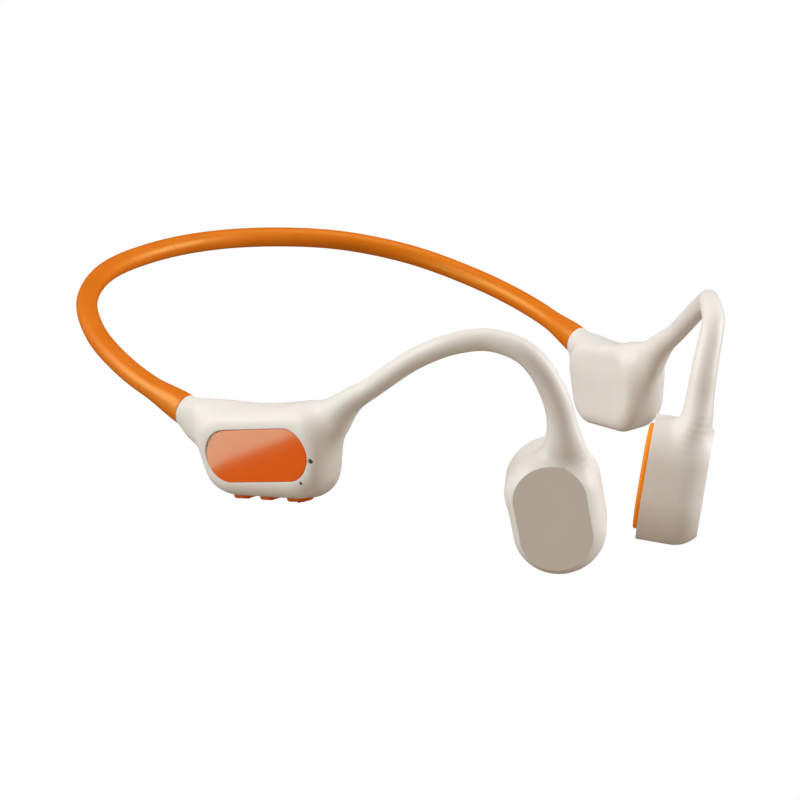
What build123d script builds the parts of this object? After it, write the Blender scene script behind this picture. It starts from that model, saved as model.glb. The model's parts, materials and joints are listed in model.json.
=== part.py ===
from build123d import *
import os

# Bone conduction headphones: a flexible neckband joins two pods, and an ear hook carries a
# transducer in front of each ear. Millimetres. +X is the wearer's front, +Y the wearer's left,
# +Z up. Everything is drawn for the right side (negative Y); the left side is its mirror image.
# The finished parts are moved so that the origin is the centre of the whole object's bounding box.

# Neckband: right half of the centreline, from the back of the neck to the pod
BAND_PATH = [
    (-79.2, 0, 19.6), (-76.8, -18, 19.0), (-70.4, -34, 17.3), (-59.0, -46, 14.3),
    (-42.8, -53.6, 10.1), (-23.8, -56.6, 5.5), (-3.2, -54.8, 0.3),
]
BAND_START_DIRECTION = (0, -1, 0)
BAND_END_DIRECTION = (0.95, 0.13, -0.27)
BAND_RADIUS = 2.4
BAND_BORE_RADIUS = 1.45
BAND_FLARE_LENGTH = 13.0      # the sleeve swells over this length before it meets the pod
BAND_END_HEIGHT = 7.0
BAND_END_WIDTH = 5.8
CORE_RADIUS = 0.45            # spring wires and cables
CORE_OFFSET = 0.6             # each core's distance from the centreline of its bore
CORE_POD_LENGTH = 7.5         # how far the neckband's cores reach into the pod
POD_BORE_LENGTH = 12.0        # from the neckband's end to the pod's cavity

# Pods: local x forward, y up, z outward
POD_CENTRE = (18.4, -47.8, -4.4)
POD_FORWARD = (0.9418, 0.2879, 0.1736)
POD_OUTWARD = (0.2924, -0.9563, 0.0)
POD_LENGTH = 34.2
POD_HEIGHT = 18.3
POD_THICKNESS = 10.0
POD_REAR_RADIUS = 3.6          # upright edges at the rear; the front is fully round
POD_CORNER_RADIUS = 5.5
POD_EDGE_RADIUS = 3.2
POD_WALL = 1.5
CAVITY_EDGE_RADIUS = 1.0

# Badge plate on each pod's outer face
BADGE_LENGTH = 26.8
BADGE_HEIGHT = 11.1
BADGE_THICKNESS = 1.1
BADGE_PROUD = 0.2
BADGE_GAP = 0.15
BADGE_LEDGE = 1.3
BADGE_CENTRE = (-0.6, -0.5)

# Necks that join the pod to the neckband and to the ear hook: ellipses given as
# (centre in the pod's axes, direction, half width, half height)
REAR_NECK = [
    ((-16.5, 6.9, 0.2), (0.94, 0.24, -0.15), 3.6, 4.3),
    ((-10.0, 3.9, 0.0), (0.94, 0.29, 0.05), 4.4, 5.8),
    ((-4.0, 2.0, 0.0), POD_FORWARD, 4.6, 6.6),
]
FRONT_NECK = [
    ((4.0, 1.5, 0.0), POD_FORWARD, 4.6, 6.9),
    ((12.0, 3.3, 0.2), (0.92, 0.28, 0.28), 4.2, 5.8),
    ((19.5, 6.9, 0.6), (0.84, 0.26, 0.48), 3.1, 3.9),
]

# Ear hook centreline on the right side, from the pod's front to the top of the transducer
HOOK_PATH = [
    (42.2, -41.7, 11.2), (46.1, -40.5, 14.2), (53.8, -37.7, 19.8), (60.6, -33.7, 23.3),
    (64.9, -29.7, 24.2), (70.8, -25.0, 21.7), (73.6, -20.8, 15.3), (74.4, -18.8, 9.4),
]
HOOK_START_DIRECTION = (0.76, 0.22, 0.61)
HOOK_END_DIRECTION = (0.025, 0.214, -0.976)
HOOK_RADIUS = 2.1
HOOK_BORE_RADIUS = 1.3
HOOK_CORE_SIDE = (-0.58, 0.65, 0.49)   # square to most of the hook's curve
HOOK_CORE_TAIL = 6.0          # how far its cores reach past each end of the hook
HOOK_BORE_TAIL = 12.5         # how far its bore runs on into the pod and the transducer

# Transducers: local y up the length, z outward, x towards the front and the face
TRANSDUCER_CENTRE = (70.6, -16.1, -10.6)
TRANSDUCER_UP = (-0.025, -0.214, 0.976)
TRANSDUCER_OUTWARD = (0.729, -0.672, -0.129)
TRANSDUCER_WIDTH = 17.8
TRANSDUCER_LENGTH = 25.4
TRANSDUCER_THICKNESS = 12.2
TRANSDUCER_OUTER_EDGE = 1.8
TRANSDUCER_WALL = 1.6
TRANSDUCER_NECK = [            # (centre in the transducer's axes, half width, half depth)
    ((4.1, 14.0, 2.2), 3.7, 3.0),
    ((2.6, 8.5, 1.2), 5.9, 4.4),
    ((0.8, 3.0, 0.4), 7.4, 5.0),
]
PAD_WIDTH = 14.2
PAD_LENGTH = 22.0
PAD_PROUD = 1.0
PAD_SEAT = 0.8
PAD_GAP = 0.15
PAD_RIM_RADIUS = 0.6
PLATE_THICKNESS = 1.0
POCKET_WIDTH = 13.2
POCKET_LENGTH = 21.0

# Exciter, heights along the transducer's local z
YOKE_RADIUS = 5.7
YOKE_WALL = 0.7
YOKE_RIM_Z = -3.0
YOKE_FLOOR_Z = 0.9
YOKE_BACK_Z = 2.1
MAGNET_RADIUS = 3.9
MAGNET_BOTTOM_Z = -1.6
TOP_PLATE_RADIUS = 4.0
TOP_PLATE_Z = -2.7
COIL_INNER_RADIUS = 4.2
COIL_OUTER_RADIUS = 4.8
COIL_END_Z = -1.0
SPRING_THICKNESS = 0.3
SPRING_RADIUS = 6.5
SPRING_RING = 0.7
SPRING_HUB_RADIUS = 2.0
SPRING_ARM_WIDTH = 1.2
SPRING_ARMS = 3

# Buttons on the right pod's underside, local x centres and lengths
BUTTONS = {"volume_down": (-9.0, 5.4), "power": (-2.3, 4.8), "volume_up": (5.4, 6.0)}
BUTTON_WIDTH = 4.0
BUTTON_PROUD = 1.1
BUTTON_GAP = 0.12
BUTTON_FLANGE = 0.45
BUTTON_FLANGE_THICKNESS = 0.7
BUTTON_TRAVEL = 0.4
BUTTON_MARK_HEIGHT = 0.3
BUTTON_MARK_LENGTH = 2.0
BUTTON_MARK_WIDTH = 0.5
PLUNGER_RADIUS = 0.8
PLUNGER_LENGTH = 1.4
PLUNGER_GAP = 0.05
SWITCH_SIZE = (3.6, 3.0, 1.7)
SWITCH_FLOOR = 0.6

# Boards, cells and small parts
BOARD_THICKNESS = 0.8
MAIN_BOARD_SIZE = (28.0, 9.5)
BUTTON_BOARD_SIZE = (24.0, 6.4)
BOARD_GAP = 0.4                # between the button board and the main board
MODULE_SIZE = (9.0, 7.5, 1.6)
MODULE_PLACE = (-5.0, 1.6)
CHIP_SIZE = (4.0, 4.0, 0.9)
CHIP_PLACE = (6.5, 1.6)
MIC_SIZE = (3.0, 3.8, 1.1)
MIC_OFFSET = 1.2               # the microphone sits behind its hole, clear of the round front
MIC_DROP = 0.5
MIC_HOLE = (13.4, -1.9)        # sound hole on the outer face, beside the badge plate
MIC_HOLE_RADIUS = 0.55
LIGHT_HOLE = (10.1, -6.4)      # status light on the outer face, below the sound hole
LIGHT_RADIUS = 0.35
LIGHT_GUIDE_LENGTH = 3.0
LIGHT_GUIDE_DROP = 0.3
LIGHT_GAP = 0.02
CHARGE_SPACING = 5.0
CHARGE_PIN_RADIUS = 1.0
CHARGE_PIN_HEAD = 1.5
MAGNET_SPACING = 15.0
ALIGN_MAGNET_RADIUS = 2.0
ALIGN_MAGNET_HEIGHT = 1.0
ALIGN_MAGNET_GAP = 0.2
CELL_SIZE = (24.0, 11.5, 6.2)
CELL_CENTRE = (-1.0, 1.0)
CELL_EDGE_RADIUS = 1.5
CELL_BOARD_SIZE = (12.0, 3.4)
CELL_BOARD_PLACE = (0.0, -5.45)

POD = Plane(origin=POD_CENTRE, x_dir=POD_FORWARD, z_dir=POD_OUTWARD)
TRANSDUCER = Plane(origin=TRANSDUCER_CENTRE,
                   x_dir=Vector(*TRANSDUCER_UP).cross(Vector(*TRANSDUCER_OUTWARD)),
                   z_dir=TRANSDUCER_OUTWARD)
OUTER_FACE_Z = POD_THICKNESS / 2
POD_FLOOR_Y = -POD_HEIGHT / 2 + POD_WALL


def box_between(low, high):
    size = [b - a for a, b in zip(low, high)]
    centre = [(a + b) / 2 for a, b in zip(low, high)]
    return Pos(*centre) * Box(*size)


def disc(radius, low_z, high_z, inner_radius=0):
    solid = Pos(0, 0, (low_z + high_z) / 2) * Cylinder(radius, high_z - low_z)
    if inner_radius:
        solid -= Pos(0, 0, (low_z + high_z) / 2) * Cylinder(inner_radius, high_z - low_z + 1)
    return solid


def stadium(length, width, low_z, high_z):
    """A flat slab with two round ends, long along local y."""
    outline = Pos(0, 0, low_z) * (Rot(0, 0, 90) * SlotOverall(length, width))
    return extrude(outline, high_z - low_z)


def lofted(sections):
    """A smooth solid through ellipses given as (centre, direction, radius_side, radius_up)."""
    faces = []
    for centre, direction, side, up in sections:
        along = Vector(*direction).normalized()
        across = along.cross(Vector(0, 0, 1)).normalized()
        plane = Plane(origin=centre, x_dir=across, z_dir=along)
        faces.append(plane * Ellipse(side, up))
    return loft(faces)


def band_wire(offset_z=0.0):
    points = [Vector(x, y, z + offset_z) for x, y, z in BAND_PATH]
    return Spline(*points, tangents=[BAND_START_DIRECTION, BAND_END_DIRECTION])


def hook_wire(offset=(0, 0, 0)):
    points = [Vector(*p) + Vector(*offset) for p in HOOK_PATH]
    return Spline(*points, tangents=[HOOK_START_DIRECTION, HOOK_END_DIRECTION])


def swept_tube(path, radius):
    start = Plane(origin=path @ 0, z_dir=path % 0)
    return sweep(start * Circle(radius), path=path)


def neckband_sleeve_right():
    path = band_wire()
    flare_start = 1 - BAND_FLARE_LENGTH / path.length
    slim = path.trim(0, flare_start)
    sections = []
    for share in (0, 0.5, 1):
        where = flare_start + (1 - flare_start) * share
        growth = share ** 1.5
        side = BAND_RADIUS + (BAND_END_WIDTH / 2 - BAND_RADIUS) * growth
        up = BAND_RADIUS + (BAND_END_HEIGHT / 2 - BAND_RADIUS) * growth
        sections.append((path @ where, tuple(path % where), side, up))
    outside = swept_tube(slim, BAND_RADIUS) + lofted(sections)
    return outside - swept_tube(path, BAND_BORE_RADIUS)


def in_pod(x, y, z):
    return tuple(POD.from_local_coords(Vector(x, y, z)))


def in_pod_sections(rows):
    return [(in_pod(*centre), direction, side, up) for centre, direction, side, up in rows]


def rear_neck():
    """From the neckband's end into the pod's body."""
    start = (BAND_PATH[-1], BAND_END_DIRECTION, BAND_END_WIDTH / 2, BAND_END_HEIGHT / 2)
    return lofted([start] + in_pod_sections(REAR_NECK))


def front_neck():
    """From inside the pod's body up to the ear hook."""
    end = (HOOK_PATH[0], HOOK_START_DIRECTION, HOOK_RADIUS, HOOK_RADIUS)
    return lofted(in_pod_sections(FRONT_NECK) + [end])


def pod_block(inset, edge):
    """The pod's body: fully round at the front in plan, with rounded corners and edges."""
    length, height, thickness = (size - 2 * inset for size in (POD_LENGTH, POD_HEIGHT, POD_THICKNESS))
    front, rear = thickness / 2 - 0.01, POD_REAR_RADIUS - inset
    plan = Rectangle(length, thickness)
    plan = fillet(plan.vertices().group_by(Axis.X)[0], rear)
    plan = fillet(plan.vertices().group_by(Axis.X)[-1], front)
    block = extrude(Plane.XZ * plan, height / 2, both=True)
    rims = block.edges().group_by(Axis.Y)
    block = fillet(rims[0] + rims[-1], edge)
    outline = RectangleRounded(length, height, POD_CORNER_RADIUS - inset)
    return block & extrude(outline, thickness, both=True)


def badge_outline(shrink, low_z, high_z):
    slab = stadium(BADGE_LENGTH - 2 * shrink, BADGE_HEIGHT - 2 * shrink, low_z, high_z)
    return Pos(*BADGE_CENTRE, 0) * (Rot(0, 0, 90) * slab)


def straight_bore(start, direction, length, radius):
    end = Vector(*start) + Vector(*direction).normalized() * length
    return swept_tube(Line(start, tuple(end)), radius)


def backwards(direction):
    return tuple(-d for d in direction)


def pod_shell():
    body = POD * pod_block(0, POD_EDGE_RADIUS) + rear_neck() + front_neck()
    body -= POD * pod_block(POD_WALL, CAVITY_EDGE_RADIUS)
    seat_z = OUTER_FACE_Z + BADGE_PROUD - BADGE_THICKNESS
    body -= POD * badge_outline(-BADGE_GAP, seat_z, OUTER_FACE_Z + 2)
    body -= POD * badge_outline(BADGE_LEDGE, seat_z - 2, OUTER_FACE_Z + 2)
    body -= straight_bore(BAND_PATH[-1], BAND_END_DIRECTION, POD_BORE_LENGTH, BAND_BORE_RADIUS)
    body -= straight_bore(HOOK_PATH[0], backwards(HOOK_START_DIRECTION), HOOK_BORE_TAIL, HOOK_BORE_RADIUS)
    return body


def button_at(x, length, radius_growth, low_y, high_y):
    """A stadium prism through the pod's underside, long along local x."""
    outline = SlotOverall(length + 2 * radius_growth, BUTTON_WIDTH + 2 * radius_growth)
    prism = extrude(Plane.XZ * outline, low_y - high_y)
    return Pos(x, low_y, 0) * prism


def right_pod_shell():
    body = pod_shell()
    for x, length in BUTTONS.values():
        body -= POD * button_at(x, length, BUTTON_GAP, -POD_HEIGHT / 2 - 1, POD_FLOOR_Y + 0.5)
    for (x, y), radius in ((MIC_HOLE, MIC_HOLE_RADIUS), (LIGHT_HOLE, LIGHT_RADIUS)):
        body -= POD * (Pos(x, y, OUTER_FACE_Z - POD_WALL) * Cylinder(radius, 3 * POD_WALL))
    for side in (-1, 1):
        pin_hole = Pos(side * CHARGE_SPACING / 2, 0, -OUTER_FACE_Z) * Cylinder(CHARGE_PIN_RADIUS, 4)
        body -= POD * pin_hole
    return body


def badge_plate():
    seat_z = OUTER_FACE_Z + BADGE_PROUD - BADGE_THICKNESS
    plate = badge_outline(0, seat_z, OUTER_FACE_Z + BADGE_PROUD)
    plate = chamfer(plate.edges().group_by(Axis.Z)[-1], BADGE_PROUD)
    return POD * plate


def ear_hook():
    path = hook_wire()
    return swept_tube(path, HOOK_RADIUS) - swept_tube(path, HOOK_BORE_RADIUS)


def transducer_body():
    half = TRANSDUCER_THICKNESS / 2
    block = stadium(TRANSDUCER_LENGTH, TRANSDUCER_WIDTH, -half, half)
    return fillet(block.edges().group_by(Axis.Z)[-1], TRANSDUCER_OUTER_EDGE)


def in_transducer(x, y, z):
    return tuple(TRANSDUCER.from_local_coords(Vector(x, y, z)))


def transducer_neck():
    """The housing's top, from the end of the ear hook into the housing's body."""
    start = (HOOK_PATH[-1], HOOK_RADIUS, HOOK_RADIUS)
    return lofted_level([start] + [(in_transducer(*centre), *radii) for centre, *radii in TRANSDUCER_NECK])


def lofted_level(sections):
    """A smooth solid through ellipses square to the transducer's length."""
    up = Vector(*TRANSDUCER_UP).normalized()
    faces = []
    for centre, across, through in sections:
        plane = Plane(origin=centre, x_dir=TRANSDUCER.x_dir, z_dir=-up)
        faces.append(plane * Ellipse(across, through))
    return loft(faces)


def transducer_housing():
    body = TRANSDUCER * transducer_body() + transducer_neck()
    half = TRANSDUCER_THICKNESS / 2
    floor = half - TRANSDUCER_WALL
    body -= TRANSDUCER * stadium(POCKET_LENGTH, POCKET_WIDTH, -half - 1, floor)
    body -= TRANSDUCER * stadium(PAD_LENGTH, PAD_WIDTH, -half - 5, -half + PAD_SEAT)
    boss = disc(SPRING_RADIUS, YOKE_BACK_Z + SPRING_THICKNESS, floor + 0.5, SPRING_RADIUS - SPRING_RING)
    body += TRANSDUCER * boss
    return body - straight_bore(HOOK_PATH[-1], HOOK_END_DIRECTION, HOOK_BORE_TAIL, HOOK_BORE_RADIUS)


def contact_pad():
    face = -TRANSDUCER_THICKNESS / 2
    pad = stadium(PAD_LENGTH - 2 * PAD_GAP, PAD_WIDTH - 2 * PAD_GAP, face - PAD_PROUD, face + PAD_SEAT)
    return TRANSDUCER * fillet(pad.edges().group_by(Axis.Z)[0], PAD_RIM_RADIUS)


def pad_plate():
    low = -TRANSDUCER_THICKNESS / 2 + PAD_SEAT
    return TRANSDUCER * stadium(POCKET_LENGTH - 2 * PAD_GAP, POCKET_WIDTH - 2 * PAD_GAP,
                                low, low + PLATE_THICKNESS)


def exciter_yoke():
    cup = disc(YOKE_RADIUS, YOKE_RIM_Z, YOKE_BACK_Z)
    cup -= disc(YOKE_RADIUS - YOKE_WALL, YOKE_RIM_Z - 1, YOKE_FLOOR_Z)
    return TRANSDUCER * cup


def exciter_magnet():
    return TRANSDUCER * disc(MAGNET_RADIUS, MAGNET_BOTTOM_Z, YOKE_FLOOR_Z)


def exciter_top_plate():
    return TRANSDUCER * disc(TOP_PLATE_RADIUS, TOP_PLATE_Z, MAGNET_BOTTOM_Z)


def voice_coil():
    low = -TRANSDUCER_THICKNESS / 2 + PAD_SEAT + PLATE_THICKNESS
    return TRANSDUCER * disc(COIL_OUTER_RADIUS, low, COIL_END_Z, COIL_INNER_RADIUS)


def leaf_spring():
    low, high = YOKE_BACK_Z, YOKE_BACK_Z + SPRING_THICKNESS
    spring = disc(SPRING_RADIUS, low, high, SPRING_RADIUS - SPRING_RING)
    spring += disc(SPRING_HUB_RADIUS, low, high)
    reach = SPRING_RADIUS - SPRING_RING / 2
    for k in range(SPRING_ARMS):
        arm = box_between((0, -SPRING_ARM_WIDTH / 2, low), (reach, SPRING_ARM_WIDTH / 2, high))
        spring += Rot(0, 0, 360 / SPRING_ARMS * k) * arm
    return TRANSDUCER * spring


def hook_core(side):
    """One wire through the hook, with a straight tail into the pod and into the transducer."""
    offset = Vector(*HOOK_CORE_SIDE).normalized() * (CORE_OFFSET * side)
    start, end = (Vector(*HOOK_PATH[k]) + offset for k in (0, -1))
    core = swept_tube(hook_wire(tuple(offset)), CORE_RADIUS)
    core += straight_bore(tuple(start), backwards(HOOK_START_DIRECTION), HOOK_CORE_TAIL, CORE_RADIUS)
    return core + straight_bore(tuple(end), HOOK_END_DIRECTION, HOOK_CORE_TAIL, CORE_RADIUS)


def band_core(offset_z):
    half = swept_tube(band_wire(offset_z), CORE_RADIUS)
    end = Vector(*BAND_PATH[-1]) + Vector(0, 0, offset_z)
    half += straight_bore(tuple(end), BAND_END_DIRECTION, CORE_POD_LENGTH, CORE_RADIUS)
    return half + mirror(half, Plane.XZ)


def button(kind):
    x, length = BUTTONS[kind]
    outside_y = -POD_HEIGHT / 2 - BUTTON_PROUD
    cap = button_at(x, length, 0, outside_y, POD_FLOOR_Y + BUTTON_GAP)
    cap = fillet(cap.edges().group_by(Axis.Y)[0], BUTTON_MARK_HEIGHT * 2)
    flange_low = POD_FLOOR_Y + BUTTON_GAP
    cap += button_at(x, length, BUTTON_FLANGE, flange_low, flange_low + BUTTON_FLANGE_THICKNESS)
    mark_low, mark_high = outside_y - BUTTON_MARK_HEIGHT, outside_y + BUTTON_MARK_HEIGHT
    reach, half = BUTTON_MARK_LENGTH / 2, BUTTON_MARK_WIDTH / 2
    if kind == "power":
        cap += Pos(x, outside_y, 0) * Sphere(BUTTON_MARK_WIDTH)
    else:
        cap += box_between((x - reach, mark_low, -half), (x + reach, mark_high, half))
    if kind == "volume_up":
        cap += box_between((x - half, mark_low, -reach), (x + half, mark_high, reach))
    return POD * cap


def plunger_base_y():
    return POD_FLOOR_Y + BUTTON_GAP + BUTTON_FLANGE_THICKNESS


def switch_base_y():
    return plunger_base_y() + PLUNGER_LENGTH - SWITCH_SIZE[2] + SWITCH_FLOOR + BUTTON_TRAVEL + PLUNGER_GAP


def upright(x, low_y, high_y, radius):
    return Pos(x, (low_y + high_y) / 2, 0) * (Rot(90, 0, 0) * Cylinder(radius, high_y - low_y))


def switch_plunger(kind):
    x = BUTTONS[kind][0]
    return POD * upright(x, plunger_base_y(), plunger_base_y() + PLUNGER_LENGTH, PLUNGER_RADIUS)


def switch_bodies():
    low, high = switch_base_y(), switch_base_y() + SWITCH_SIZE[2]
    solids = []
    for x, _ in BUTTONS.values():
        body = box_between((x - SWITCH_SIZE[0] / 2, low, -SWITCH_SIZE[1] / 2),
                           (x + SWITCH_SIZE[0] / 2, high, SWITCH_SIZE[1] / 2))
        solids.append(POD * (body - upright(x, low - 1, high - SWITCH_FLOOR, PLUNGER_RADIUS + PLUNGER_GAP)))
    return Compound(solids)


def button_board():
    low = switch_base_y() + SWITCH_SIZE[2]
    middle = sum(x for x, _ in BUTTONS.values()) / len(BUTTONS)
    half_x, half_z = BUTTON_BOARD_SIZE[0] / 2, BUTTON_BOARD_SIZE[1] / 2
    return POD * box_between((middle - half_x, low, -half_z),
                             (middle + half_x, low + BOARD_THICKNESS, half_z))


def board_base_z():
    return -OUTER_FACE_Z + POD_WALL + ALIGN_MAGNET_HEIGHT + ALIGN_MAGNET_GAP


def main_board():
    low_y = switch_base_y() + SWITCH_SIZE[2] + BOARD_THICKNESS + BOARD_GAP
    low_z = board_base_z()
    half_x = MAIN_BOARD_SIZE[0] / 2
    return POD * box_between((-half_x, low_y, low_z),
                             (half_x, low_y + MAIN_BOARD_SIZE[1], low_z + BOARD_THICKNESS))


def on_main_board(size, x, y):
    low_z = board_base_z() + BOARD_THICKNESS
    return POD * (Pos(x, y, low_z + size[2] / 2) * Box(*size))


def charge_pins():
    low_z, inside_z = -OUTER_FACE_Z, -OUTER_FACE_Z + POD_WALL
    solids = []
    for side in (-1, 1):
        pin = disc(CHARGE_PIN_RADIUS, low_z, inside_z) + disc(CHARGE_PIN_HEAD, inside_z, board_base_z())
        solids.append(POD * (Pos(side * CHARGE_SPACING / 2, 0, 0) * pin))
    return Compound(solids)


def charge_magnets():
    low_z = -OUTER_FACE_Z + POD_WALL
    solids = [POD * (Pos(side * MAGNET_SPACING / 2, 0, 0)
                     * disc(ALIGN_MAGNET_RADIUS, low_z, low_z + ALIGN_MAGNET_HEIGHT)) for side in (-1, 1)]
    return Compound(solids)


def microphone():
    high_z = OUTER_FACE_Z - POD_WALL - MIC_DROP
    x, y = MIC_HOLE
    return POD * (Pos(x - MIC_OFFSET, y, high_z - MIC_SIZE[2] / 2) * Box(*MIC_SIZE))


def light_guide():
    x, y = LIGHT_HOLE
    high_z = OUTER_FACE_Z - LIGHT_GUIDE_DROP
    return POD * (Pos(x, y, 0) * disc(LIGHT_RADIUS - LIGHT_GAP, high_z - LIGHT_GUIDE_LENGTH, high_z))


def battery_cell():
    cell = Box(*CELL_SIZE)
    return POD * (Pos(*CELL_CENTRE, 0) * fillet(cell.edges().filter_by(Axis.X), CELL_EDGE_RADIUS))


def battery_board():
    return POD * (Pos(*CELL_BOARD_PLACE, 0) * Rot(90, 0, 0) * Box(*CELL_BOARD_SIZE, BOARD_THICKNESS))


def paired_parts():
    """Sub-parts that both sides have, mirror images of each other."""
    parts = {
        "badge_plate": badge_plate(), "ear_hook": ear_hook(),
        "transducer_housing": transducer_housing(), "contact_pad": contact_pad(),
        "pad_plate": pad_plate(), "exciter_yoke": exciter_yoke(),
        "exciter_magnet": exciter_magnet(), "exciter_top_plate": exciter_top_plate(),
        "voice_coil": voice_coil(), "leaf_spring": leaf_spring(),
    }
    return parts | {"hook_spring_wire": hook_core(1), "exciter_lead": hook_core(-1)}


def right_only_parts():
    parts = {
        "right_pod_shell": right_pod_shell(), "switch_bodies": switch_bodies(),
        "button_board": button_board(), "main_board": main_board(),
        "wireless_module": on_main_board(MODULE_SIZE, *MODULE_PLACE),
        "charge_controller": on_main_board(CHIP_SIZE, *CHIP_PLACE),
        "microphone": microphone(), "status_light_guide": light_guide(),
        "charge_pins": charge_pins(), "charge_magnets": charge_magnets(),
    }
    for kind in BUTTONS:
        parts[kind + "_button"] = button(kind)
        parts[kind + "_plunger"] = switch_plunger(kind)
    return parts


def left_only_parts():
    parts = {"pod_shell": pod_shell(), "battery_cell": battery_cell(), "battery_board": battery_board()}
    return {"left_pod_shell" if n == "pod_shell" else n: mirror(s, Plane.XZ) for n, s in parts.items()}


def all_parts():
    sleeve = neckband_sleeve_right()
    parts = {
        "neckband_sleeve_right": sleeve,
        "neckband_sleeve_left": mirror(sleeve, Plane.XZ),
        "neckband_spring_wire": band_core(CORE_OFFSET),
        "neckband_cable": band_core(-CORE_OFFSET),
    }
    for name, solid in paired_parts().items():
        parts["right_" + name] = solid
        parts["left_" + name] = mirror(solid, Plane.XZ)
    return parts | right_only_parts() | left_only_parts()


def middle_of_box(shapes):
    boxes = [shape.bounding_box() for shape in shapes]
    low = [min(tuple(b.min)[axis] for b in boxes) for axis in range(3)]
    high = [max(tuple(b.max)[axis] for b in boxes) for axis in range(3)]
    return [(a + b) / 2 for a, b in zip(low, high)]


os.makedirs("parts", exist_ok=True)
drawn = all_parts()
middle_x, _, middle_z = middle_of_box(drawn.values())
print("box centre in drawing coordinates:", middle_x, middle_z)
for node, shape in drawn.items():
    export_step(shape.moved(Location((-middle_x, 0, -middle_z))), os.path.join("parts", node + ".step"))
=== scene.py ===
import json
import math

import bmesh
import bpy
import numpy as np
from mathutils import Matrix, Vector


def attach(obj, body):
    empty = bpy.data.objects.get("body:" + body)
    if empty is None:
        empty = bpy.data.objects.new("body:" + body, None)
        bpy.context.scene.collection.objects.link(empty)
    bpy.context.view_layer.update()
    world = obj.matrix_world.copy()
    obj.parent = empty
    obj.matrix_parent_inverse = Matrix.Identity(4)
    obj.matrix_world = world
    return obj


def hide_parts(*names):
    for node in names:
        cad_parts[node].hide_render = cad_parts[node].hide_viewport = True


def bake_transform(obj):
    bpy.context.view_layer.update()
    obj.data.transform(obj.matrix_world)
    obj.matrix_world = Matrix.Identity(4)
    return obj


# Looks of the bone conduction headphones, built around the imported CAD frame.
# Shapes are drawn in millimetres in the row frame and turned into metres when a mesh is made.
# The wearer's right side (negative Y) is drawn; the left side is its mirror image.

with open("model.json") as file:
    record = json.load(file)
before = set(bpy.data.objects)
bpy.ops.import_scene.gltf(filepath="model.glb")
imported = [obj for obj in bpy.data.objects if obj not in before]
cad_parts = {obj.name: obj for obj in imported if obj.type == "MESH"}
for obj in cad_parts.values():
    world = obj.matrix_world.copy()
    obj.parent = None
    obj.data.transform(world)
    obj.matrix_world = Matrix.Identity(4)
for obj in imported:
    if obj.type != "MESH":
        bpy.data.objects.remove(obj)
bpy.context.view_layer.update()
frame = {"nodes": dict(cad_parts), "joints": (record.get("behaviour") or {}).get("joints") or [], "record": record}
RECORD = frame["record"]
MM = 0.001
UP = np.array((0.0, 0.0, 1.0))

# ---------------------------------------------------------------- places taken from the frame


def mount(name):
    """A mount of the record: its point in millimetres and its unit axis."""
    found = next(m for m in RECORD["mounts"] if m["name"] == name)
    return np.array(found["pos_m"]) / MM, unit(found["axis"])


def joint_axis(name):
    return unit(next(j for j in frame["joints"] if j["name"] == name)["axis"])


def unit(v):
    v = np.array(v, float)
    return v / np.linalg.norm(v)


def node_points(name):
    """The vertices of a CAD node at rest, in millimetres."""
    mesh = frame["nodes"][name].data
    points = np.empty(len(mesh.vertices) * 3, np.float32)
    mesh.vertices.foreach_get("co", points)
    return points.reshape(-1, 3).astype(float) / MM


class Axes:
    """A local frame: x, y and z are unit vectors, origin a point in millimetres."""

    def __init__(self, origin, y, z):
        self.origin = np.array(origin, float)
        self.z = unit(z)
        self.x = unit(np.cross(y, self.z))
        self.y = np.cross(self.z, self.x)

    def inside(self, points):
        rel = points - self.origin
        return rel @ self.x, rel @ self.y, rel @ self.z

    def outside(self, x, y, z):
        return self.origin + x * self.x + y * self.y + z * self.z

    def matrix(self):
        m = Matrix.Identity(4)
        for column, axis in enumerate((self.x, self.y, self.z, self.origin)):
            for row in range(3):
                m[row][column] = axis[row]
        return m


POD_THICKNESS = 10.0
PAD_PROUD = 1.0
TRANSDUCER_THICKNESS = 12.2

charge_point, pod_inward = mount("charge_face")
pad_point, pad_inward = mount("right_pad_face")
pad_points = node_points("right_contact_pad")
pad_spread = np.linalg.svd(pad_points - pad_points.mean(0), full_matrices=False)[2]
pad_up = pad_spread[0] * np.sign(pad_spread[0][2])

# Pod: x forward, y up, z outward. Transducer: x to the front edge, y up, z outward.
POD = Axes(charge_point - pod_inward * POD_THICKNESS / 2, joint_axis("power_press"), -pod_inward)
TRANSDUCER = Axes(pad_point - pad_inward * (TRANSDUCER_THICKNESS / 2 + PAD_PROUD), pad_up, -pad_inward)

# ---------------------------------------------------------------- driving dimensions

POD_LENGTH = 34.2
POD_HEIGHT = 18.3
POD_REAR_RADIUS = 3.6
POD_TOP_RADIUS = 8.6
POD_REAR_BOTTOM_RADIUS = 8.4
POD_FRONT_BOTTOM_RADIUS = 10.5
POD_EDGE_RADIUS = 3.2
POD_REAR_EXTRA = 0.5
TOP_SLANT, BOTTOM_SLANT, SLANT_FROM = 0.10, 0.18, 3.0     # the pod is taller at its inner side
BOTTOM_DROP, DROP_FROM, DROP_TO = 0.055, -9.0, 6.0     # and its underside falls towards the front
POD_WALL = 1.5

BADGE_LENGTH, BADGE_HEIGHT, BADGE_CENTRE = 26.3, 10.9, (-0.5, -0.5)
BADGE_CORNER = 5.4
BADGE_PROUD, BADGE_DEPTH, BADGE_GAP, BADGE_LIP = 0.06, 0.9, 0.01, 0.18
BADGE_EDGE, BADGE_CROWN, BADGE_CROWN_REACH = 0.1, 0.02, 5.0

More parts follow.
